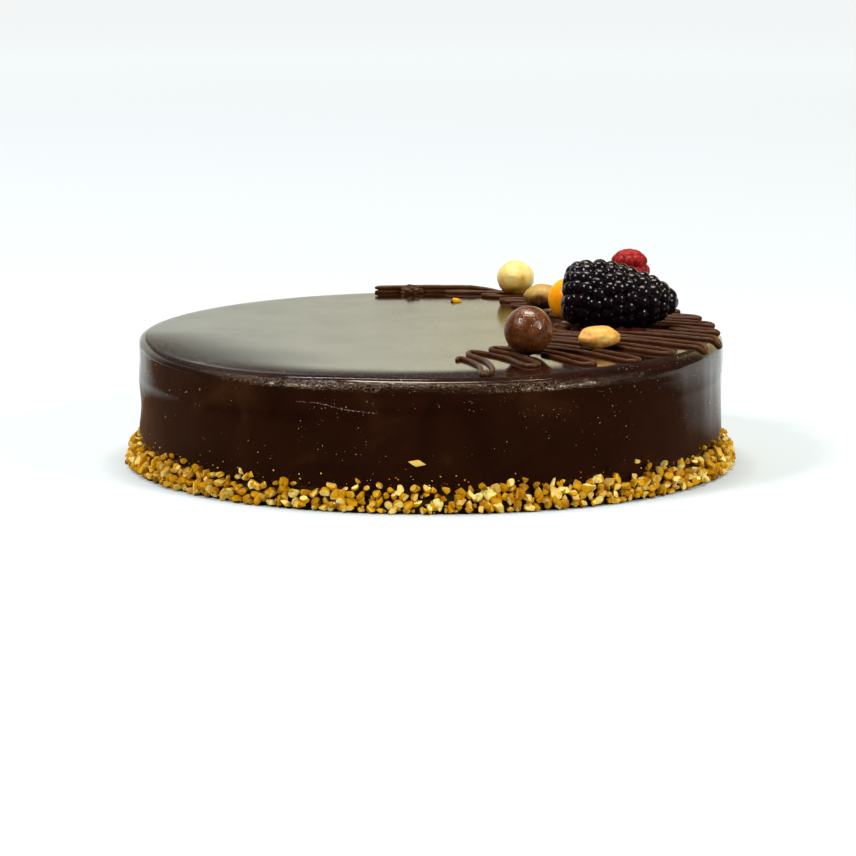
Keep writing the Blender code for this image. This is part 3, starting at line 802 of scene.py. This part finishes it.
def nut_template(rng):
    """A bit of nut in a unit ball: rounded outside, with flat cut faces, and a tint for each face."""
    builder = bmesh.new()
    bmesh.ops.create_icosphere(builder, subdivisions=2, radius=1.0)
    tint = builder.faces.layers.float.new("tint")
    for face in builder.faces:
        face[tint] = NUT_SKIN_TINT
    shift = Vector([rng.uniform(-9, 9) for _ in range(3)])
    depth, fineness = NUT_LUMPS
    for corner in builder.verts:
        corner.co *= 1 + depth * noise.noise(corner.co * fineness + shift)
    for _ in range(rng.choice(NUT_CUTS)):
        way = random_way(rng)
        place = way * rng.uniform(*CUT_DEPTH)
        everything = builder.verts[:] + builder.edges[:] + builder.faces[:]
        cut = bmesh.ops.bisect_plane(
            builder, geom=everything, plane_co=place, plane_no=way, clear_outer=True,
        )["geom_cut"]
        rim = [item for item in cut if isinstance(item, bmesh.types.BMEdge)]
        for face in bmesh.ops.edgenet_fill(builder, edges=rim)["faces"]:
            face[tint] = rng.uniform(*CUT_TINT)
    bmesh.ops.recalc_face_normals(builder, faces=builder.faces)
    sharp = [edge for edge in builder.edges if edge.is_manifold and edge.calc_face_angle() > CHIP_ANGLE]
    bmesh.ops.bevel(builder, geom=sharp, offset=CHIP_BEVEL, segments=1, affect="EDGES", clamp_overlap=True)
    bmesh.ops.triangulate(builder, faces=builder.faces)
    builder.verts.ensure_lookup_table()
    points = np.array([corner.co[:] for corner in builder.verts])
    points /= np.abs(points).max(axis=0)
    faces = np.array([[corner.index for corner in face.verts] for face in builder.faces])
    tints = np.array([face[tint] for face in builder.faces])
    builder.free()
    return points, faces, tints


def nut_templates(rng):
    return [nut_template(rng) for _ in range(NUT_TEMPLATES)]


def scaled(size):
    return Matrix.Diagonal((*size, 1.0))


def on_round(angle, radius, height):
    return Matrix.Rotation(angle, 4, "Z") @ Matrix.Translation((radius, 0, height))


def heap_density(angle):
    """How much of the heap lies at an angle: it thins out and piles up round the foot."""
    return 0.5 + 0.5 * round_noise(angle, HEAP_TURNS, 0.7)


def nuts_piece(rng, material):
    heap = Heap()
    templates = nut_templates(rng)
    for level, row in enumerate(NUT_ROWS):
        for index in range(row["count"]):
            angle = 2 * math.pi * (index + rng.uniform(-NUT_JITTER, NUT_JITTER)) / row["count"]
            size = rng.uniform(*row["sizes"])
            keep = rng.random()
            if level >= 2 and keep > HEAP_KEEP[level - 2] + HEAP_PILES * heap_density(angle):
                continue
            points, faces, tints = rng.choice(templates)
            strays = [rng.gauss(0, 0.5) * row["spread"] for _ in range(2)]
            radius = (row["radius"] + strays[0]) * MM
            height = (row["height"] + strays[1]) * MM
            shape = scaled([size * share * MM * rng.uniform(0.9, 1.1) for share in NUT_SHAPE])
            spin = random_turn(rng) @ shape
            turned = points @ np.array(spin.to_3x3()).T
            lift = max(height, 0.1 * MM - turned[:, 2].min())
            reach = min(radius + side_wave(angle, height), HEAP_REACH - turned[:, 0].max())
            tint = np.clip(tints + rng.uniform(-0.15, 0.25), 0, 1)
            heap.add(points, faces, on_round(angle, reach, lift) @ spin, tint)
    for bit in SIDE_BITS:
        points, faces, tints = rng.choice(templates)
        long, tall, deep = bit["size"]
        shape = scaled([deep / 2 * MM, long / 2 * MM, tall / 2 * MM])
        tilt = Matrix.Rotation(math.radians(bit["tilt"]), 4, "X")
        angle = math.radians(bit["angle"])
        height = bit["height"] * MM
        place = on_round(angle, CAKE_RADIUS + side_wave(angle, height), height)
        heap.add(points, faces, place @ tilt @ shape, tints * 0.4)
    points, faces, tints = rng.choice(templates)
    shape = scaled([size / 2 * MM for size in TOP_BIT["size"]])
    place = Matrix.Translation(drape(Vector(TOP_BIT["place"]) * MM, TOP_BIT["lift"] * MM))
    heap.add(points, faces, place @ shape, tints + 0.35)
    return heap.piece("chopped_nuts", material)


def crumbs_piece(rng, material):
    """Small crumbs of nut between the bits and on the lower side."""
    heap = Heap()
    templates = nut_templates(rng)
    for _ in range(CRUMBS["count"]):
        angle = rng.uniform(0, 2 * math.pi)
        points, faces, tints = rng.choice(templates)
        size = rng.uniform(*CRUMBS["sizes"]) * MM
        if rng.random() < CRUMBS["high_share"]:
            size *= CRUMBS["high_size"]
            height = abs(rng.gauss(0, CRUMBS["high_spread"])) * MM + CRUMBS["high_from"] * MM
            radius = side_reach(angle, height) + size * CRUMBS["stands_out"]
        else:
            height = rng.uniform(*CRUMBS["low"]) * MM
            radius = CAKE_RADIUS + rng.uniform(*CRUMBS["out"]) * MM - height * CRUMBS["lean"]
        shape = scaled([size / 2 * rng.uniform(0.55, 1.0) for _ in range(3)])
        place = on_round(angle, radius, max(height, size / 2 + 0.1 * MM))
        turned = place @ random_turn(rng) @ shape
        heap.add(points, faces, turned, np.clip(tints + rng.uniform(-0.2, 0.2), 0, 1))
    return heap.piece("nut_crumbs", material)


def speck_spots(rng):
    """The angle, height and size of each speck, on the side and along the wrinkle."""
    spots = []
    turns, rise, shift = SPECKS["patches"]
    for _ in range(SPECKS["count"]):
        angle = rng.uniform(0, 2 * math.pi)
        height = CAKE_HEIGHT - SPECKS["below_top"] * MM - abs(rng.gauss(0, SPECKS["spread"])) * MM
        patch = noise.noise(Vector((angle * turns, height * rise, shift)))
        if height > SPECKS["lowest"] * MM and patch > SPECKS["bare_over"]:
            spots.append((angle, height, rng.choice(SPECKS["sizes"])))
    for (turn, low), (after, high) in zip(CREASE, CREASE[1:]):
        for _ in range(SPECKS["per_span"]):
            share = rng.random()
            angle = math.radians(turn + (after - turn) * share + rng.gauss(0, SPECKS["span_turn"]))
            height = (low + (high - low) * share + rng.gauss(0, SPECKS["span_rise"])) * MM
            spots.append((angle, height, rng.uniform(*SPECKS["span_sizes"])))
    return spots


def specks_piece(rng, material):
    heap = Heap()
    points, faces = ball_arrays(1)
    tints = np.zeros(len(faces))
    for angle, height, size in speck_spots(rng):
        outward = Vector((math.cos(angle), math.sin(angle), 0))
        size *= MM * rng.uniform(0.8, 1.2)
        top = CAKE_HEIGHT - shoulder_size(angle)
        if height < top:
            spot = outward * side_reach(angle, height)
            spot.z = height
        else:
            spot = drape((outward * (CAKE_RADIUS - (height - top))).xy, 0.0)
        turned = Matrix.Translation(spot) @ random_turn(rng)
        heap.add(points, faces, turned @ scaled([size * rng.uniform(0.5, 1.5) for _ in range(3)]), tints)
    return heap.piece("glaze_specks", material)


def crease_piece(material):
    """The wrinkle's thin ridge, which runs a little unevenly under the rounded edge."""
    path = [Vector((math.radians(angle) * CREASE_ARC, height, 0)) for angle, height in CREASE]
    wave, wave_fineness = CREASE_WAVE
    swell, swell_fineness = CREASE_SWELL
    builder = bmesh.new()
    rings = []
    for spot in evenly_spaced(smooth_path(path, 20), CREASE_STEPS):
        angle = spot.x / CREASE_ARC
        height = spot.y * MM + wave * noise.noise(Vector((spot.x * wave_fineness, 0, 0)))
        share = len(rings) / (CREASE_STEPS - 1)
        size = CREASE_RADIUS * (math.sin(math.pi * share) ** 0.5 + 0.15)
        size *= max(0.05, 0.8 + swell * noise.noise(Vector((spot.x * swell_fineness, 5, 0))))
        reach = side_reach(angle, height)
        ring = []
        for step in range(CREASE_SIDES):
            turn = 2 * math.pi * step / CREASE_SIDES
            out = reach + size * math.cos(turn) * CREASE_FLATNESS
            rise = size * math.sin(turn)
            ring.append(builder.verts.new((math.cos(angle) * out, math.sin(angle) * out, height + rise)))
        rings.append(ring)
    add_tube(builder, rings)
    bmesh.ops.recalc_face_normals(builder, faces=builder.faces)
    return link_piece("glaze_wrinkle", mesh_from("glaze_wrinkle", builder), material)


# Toppings

def rest_on_top(mesh, place=(0.0, 0.0)):
    """Moves a mesh to its place and down until its nearest point is a small gap over the top."""
    mesh.transform(Matrix.Translation((place[0] * MM, place[1] * MM, 0.0)))
    lowest = min(corner.co.z - top_rise(corner.co) for corner in mesh.vertices)
    mesh.transform(Matrix.Translation((0, 0, CAKE_HEIGHT + GAP - lowest)))


def round_piece(name, skin, place, radius, lumps):
    """A ball that isn't quite round, with the named finish."""
    builder = bmesh.new()
    bmesh.ops.create_icosphere(builder, subdivisions=6, radius=radius)
    depth, fineness = lumps
    for corner in builder.verts:
        corner.co *= 1 + depth * noise.noise(corner.co * fineness)
    mesh = mesh_from(name, builder)
    rest_on_top(mesh, place)
    return link_piece(name, mesh, skin_material(skin))


def kernel_piece(name, nut, material):
    """A hazelnut kernel: softly lobed, with a spot where its point was, and painted shade underneath."""
    builder = bmesh.new()
    bmesh.ops.create_icosphere(builder, subdivisions=6, radius=1.0)
    shift = Vector(nut["place"]) * 0.37
    half = [size * MM for size in nut["half"]]
    tints = []
    for corner in builder.verts:
        unit = corner.co.copy()
        around = math.atan2(unit.y, unit.x)
        lobes = LOBE_DEPTH * math.cos(KERNEL_LOBES * around) * (1 - unit.z * unit.z)
        lump = sum(abs(part) ** nut["full"] for part in unit) ** (-1 / nut["full"])
        lump *= 1 + lobes + nut["lumps"] * noise.noise(unit * 1.8 + Vector((shift.x, shift.y, 0)))
        squeeze = (1 - nut["taper"] * abs(unit.x) ** 3) * lump
        corner.co = Vector((unit.x * half[0] * lump, unit.y * half[1] * squeeze, unit.z * half[2] * squeeze))
        # Below the skin value the flesh is painted darker: painted shade underneath
        under = min(1.0, max(0.0, nut["skin"] - unit.z) * KERNEL_SHADE)
        spot = math.exp(-((unit - KERNEL_SPOT).length / SPOT_SIZE) ** 2)
        tints.append(min(1.0, under + SPOT_TINT * spot))
    mesh = mesh_from(name + "_kernel", builder)
    mesh.transform(Matrix.Rotation(math.radians(nut["turn"]), 4, "Z"))
    rest_on_top(mesh, nut["place"])
    tint = mesh.attributes.new("tint", "FLOAT", "POINT")
    tint.data.foreach_set("value", tints)
    return link_piece(name + "_kernel", mesh, material)


def berry_piece(name, spine, outline, pitch, fullness, rng, material):
    """A berry of round drupelets; spine and outline go from 0 to 1 along its axis."""
    axis = (spine(1.0) - spine(0.0)).normalized()
    side = axis.orthogonal().normalized()
    up = axis.cross(side)
    shares = [(1 - math.cos(math.pi * step / BERRY_STEPS)) / 2 for step in range(BERRY_STEPS + 1)]
    rim = [spine(share) + side * outline(share) for share in shares]
    slopes = []
    lengths = [0.0]
    for start, end in zip(rim, rim[1:]):
        lengths.append(lengths[-1] + (end - start).length)
        slopes.append(math.atan2((end - start).dot(side), (end - start).dot(axis)))

    heap = Heap()
    points, faces = ball_arrays(4)
    tints = np.zeros(len(faces))
    rows = round(lengths[-1] / (pitch * ROW_PITCH))
    for row in range(rows + 1):
        row_step = min(bisect_right(lengths, lengths[-1] * row / rows), BERRY_STEPS) - 1
        count = max(1, round(2 * math.pi * outline(shares[row_step]) / pitch))
        for turn in range(count):
            strayed = row + rng.uniform(-ROW_STRAY, ROW_STRAY)
            target = lengths[-1] * min(max(strayed / rows, 0.0), 1.0)
            step = min(bisect_right(lengths, target), BERRY_STEPS) - 1
            mix = (target - lengths[step]) / (lengths[step + 1] - lengths[step])
            share = shares[step] + (shares[step + 1] - shares[step]) * mix
            strayed = turn + 0.5 * (row % 2) + rng.uniform(-ROW_STRAY, ROW_STRAY)
            around = 2 * math.pi * strayed / count
            outward = side * math.cos(around) + up * math.sin(around)
            normal = outward * math.cos(slopes[step]) - axis * math.sin(slopes[step])
            size = pitch * fullness * rng.uniform(*DRUPELET_SIZES)
            middle = spine(share) + outward * outline(share) - normal * (size * DRUPELET_DEPTH)
            stretch = scaled([size * rng.uniform(*DRUPELET_STRETCH) for _ in range(2)] + [size])
            turned = normal.to_track_quat("Z", "Y").to_matrix().to_4x4()
            heap.add(points, faces, Matrix.Translation(middle) @ turned @ stretch, tints)
    made = heap.piece(name, material)
    rest_on_top(made.data)
    return made


def dark_piece(rng, material):
    line = smooth_path([Vector(spot) * MM for spot in DARK_SPINE], 20)
    full = DARK_TIP_X - DARK_STEM_X
    crown = (DARK_CROWN_X - DARK_STEM_X) / full

    def spine(share):
        place = min(share, 0.9999) * (len(line) - 1)
        return line[int(place)].lerp(line[int(place) + 1], place % 1)

    def outline(share):
        if share < crown:
            return DARK_RADIUS * (1 - min(1, (crown - share) / crown) ** 4) ** 0.25
        return DARK_RADIUS * (1 - min(1, (share - crown) / (1 - crown)) ** 1.75) ** 0.48

    return berry_piece("dark_drupelets", spine, outline, DARK_PITCH, DARK_FULLNESS, rng, material)


def red_piece(rng, material):
    foot = Vector((RED_PLACE[0] * MM, RED_PLACE[1] * MM, CAKE_HEIGHT))

    def spine(share):
        return foot + Vector((0, 0, RED_HEIGHT * share))

    def outline(share):
        wall = 1 - RED_NARROWING * share ** 1.3
        base = (1 - max(0.0, 1 - share / RED_FOOT) ** 2.5) ** 0.5
        crown = (1 - max(0.0, (share - RED_CROWN) / (1 - RED_CROWN)) ** 3) ** 0.5
        return RED_RADIUS * wall * base * crown

    return berry_piece("red_drupelets", spine, outline, RED_PITCH, RED_FULLNESS, rng, material)


# Stage

def add_floor():
    """A plain pale floor; away from the cake, where the lights fade, it glows to stay as pale. In the
    glaze's mirror its near front shows dark brown: a painted reflection.
    """
    bpy.ops.mesh.primitive_plane_add(size=24.0, location=(0, 0, 0))
    floor = bpy.context.object
    floor.name = "floor"
    material, tree, shader = new_material("floor")
    set_inputs(shader, Base_Color=(0.56, 0.62, 0.68, 1.0), Roughness=0.9, Specular_IOR_Level=0.0)
    coords = add_node(tree, "ShaderNodeTexCoord").outputs["Object"]
    away = add_node(tree, "ShaderNodeVectorMath", {"operation": "LENGTH"}, Vector=coords)
    glow = ramp(tree, spread(tree, away.outputs["Value"], 0.2, 3.2, 0.0, 1.0), (
        (0.0, (0.0, 0.0, 0.0)),
        (0.117, (0.10, 0.10, 0.10)),
        (0.25, (0.32, 0.33, 0.34)),
        (0.42, (0.58, 0.60, 0.61)),
        (0.56, (0.69, 0.695, 0.70)),
        (1.0, (0.86, 0.875, 0.885)),
    ))
    set_inputs(shader, Emission_Color=glow, Emission_Strength=1.0)
    # Dark brown that only mirrored rays see on the floor's near front: a painted reflection in the glaze
    painted_dark_reflection = add_node(tree, "ShaderNodeBsdfDiffuse", Color=(0.105, 0.058, 0.036, 1.0))
    glossy = add_node(tree, "ShaderNodeLightPath").outputs["Is Glossy Ray"]
    axes = add_node(tree, "ShaderNodeSeparateXYZ", Vector=coords).outputs
    front = spread(tree, maths(tree, "MULTIPLY_ADD", axes["X"], 0.25, axes["Y"]), 0.06, 0.20, 1.0, 0.0)
    blend = add_node(tree, "ShaderNodeMixShader", Fac=times(tree, glossy, front))
    feed(blend.inputs[1], shader.outputs["BSDF"])
    feed(blend.inputs[2], painted_dark_reflection.outputs["BSDF"])
    set_inputs(tree.nodes["Material Output"], Surface=blend.outputs["Shader"])
    floor.data.materials.append(material)


def add_area(name, azimuth, elevation, distance, size, power, colour=(1, 1, 1)):
    """A soft light that looks at the cake; azimuth 0 is the camera's side, plus is to the right."""
    light = bpy.data.lights.new(name, "AREA")
    light.shape = "RECTANGLE"
    light.size, light.size_y = size
    light.energy = power
    light.color = colour
    lamp = bpy.data.objects.new(name, light)
    bpy.context.scene.collection.objects.link(lamp)
    turn = math.radians(azimuth)
    rise = math.radians(elevation)
    way = Vector((math.sin(turn) * math.cos(rise), -math.cos(turn) * math.cos(rise), math.sin(rise)))
    lamp.location = Vector((0, 0, 0.03)) + way * distance
    lamp.rotation_euler = way.to_track_quat("Z", "Y").to_euler()


def add_world():
    """White for the camera; for other rays dim, with a bright low band behind the cake."""
    world = bpy.data.worlds.new("studio")
    bpy.context.scene.world = world
    world.use_nodes = True
    tree = world.node_tree
    tree.nodes.clear()
    way = add_node(tree, "ShaderNodeTexCoord").outputs["Generated"]
    axes = add_node(tree, "ShaderNodeSeparateXYZ", Vector=way).outputs
    sideways = maths(tree, "MAXIMUM", maths(tree, "ABSOLUTE", axes["X"]), 0.10)
    low = spread(tree, maths(tree, "SUBTRACT", axes["Z"], sideways), 0.060, 0.125, 1.0, 0.0)
    back = spread(tree, axes["Y"], 0.60, 0.92, 0.0, 1.0)
    across = spread(tree, axes["X"], -0.10, 0.06, 0.0, 1.0)
    wall = ramp(tree, across, (
        (0.0, (0.86, 0.94, 0.85)),
        (0.35, (1.08, 1.14, 0.98)),
        (0.60, (1.15, 1.15, 0.90)),
        (0.85, (1.30, 1.20, 0.68)),
        (1.0, (1.34, 1.20, 0.56)),
    ))
    sky = mixed(tree, times(tree, low, back), (0.10, 0.095, 0.09), wall)
    seen = add_node(tree, "ShaderNodeLightPath").outputs["Is Camera Ray"]
    colour = mixed(tree, seen, sky, (0.93, 0.975, 0.995))
    glow = add_node(tree, "ShaderNodeBackground", Color=colour, Strength=1.0)
    add_node(tree, "ShaderNodeOutputWorld", Surface=glow.outputs["Background"])


def add_camera():
    lens = bpy.data.cameras.new("camera")
    lens.lens = CAMERA_LENS
    lens.sensor_width = 36.0
    lens.sensor_fit = "HORIZONTAL"
    lens.clip_end = 50.0
    camera = bpy.data.objects.new("camera", lens)
    camera.location = CAMERA_PLACE
    camera.rotation_euler = (math.pi / 2 - CAMERA_PITCH, 0.0, 0.0)
    bpy.context.scene.collection.objects.link(camera)
    bpy.context.scene.camera = camera


def add_stage():
    add_floor()
    add_world()
    add_area("left_light", -59, 44, 1.4, (0.34, 0.30), 12.2)
    add_area("right_light", 54, 27, 1.4, (0.36, 0.30), 11.2)
    add_area("top_light", 167, 83, 1.4, (0.80, 0.42), 23.0, (1.0, 0.94, 0.79))
    add_area("strip_light", -148, 51, 1.4, (1.1, 0.05), 2.6, (0.84, 0.88, 1.0))
    add_camera()


def dress():
    """Makes every piece, hangs it on the root body and hides the solid node that it replaces."""
    rng = random.Random(SEED)
    flesh = nut_material(
        "chopped_nut", (1.0, 0.83, 0.27), (0.70, 0.34, 0.001), (0.18, 0.050, 0.001), 0.00024,
    )
    ball = (BALL_PLACE, BALL_RADIUS, BALL_LUMPS)
    orange = (ORANGE_PLACE, ORANGE_RADIUS, ORANGE_LUMPS)
    made = [
        (zigzag_piece(rng, skin_material("piped_chocolate")), "glazed_cake", "glaze"),
        (glaze_piece(glaze_material()), "glazed_cake", "glaze"),
        (nuts_piece(rng, flesh), "glazed_cake", "nut"),
        (crumbs_piece(rng, flesh), "glazed_cake", "nut"),
        (specks_piece(rng, skin_material("dust_and_glint_specks")), "glazed_cake", "nut"),
        (crease_piece(bpy.data.materials["glaze"]), "glazed_cake", "glaze"),
        (round_piece("chocolate_ball", "milk_chocolate", *ball), "choc_ball", "milk_chocolate"),
        (round_piece("orange_fruit", "orange_skin", *orange), "orange_berry", "orange_skin"),
        (dark_piece(rng, skin_material("dark_skin")), "dark_berry", "dark_skin"),
        (red_piece(rng, skin_material("red_skin")), "red_berry", "red_skin"),
    ]
    for name, nut in HAZELNUTS.items():
        flesh = kernel_material(name + "_flesh", *KERNEL_COLOURS[name])
        made.append((kernel_piece(name, nut, flesh), name, "nut"))
    for piece, node, slot in made:
        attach(piece, "root")
        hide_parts(node)


dress()
add_stage()
bpy.context.scene.view_settings.view_transform = "Standard"
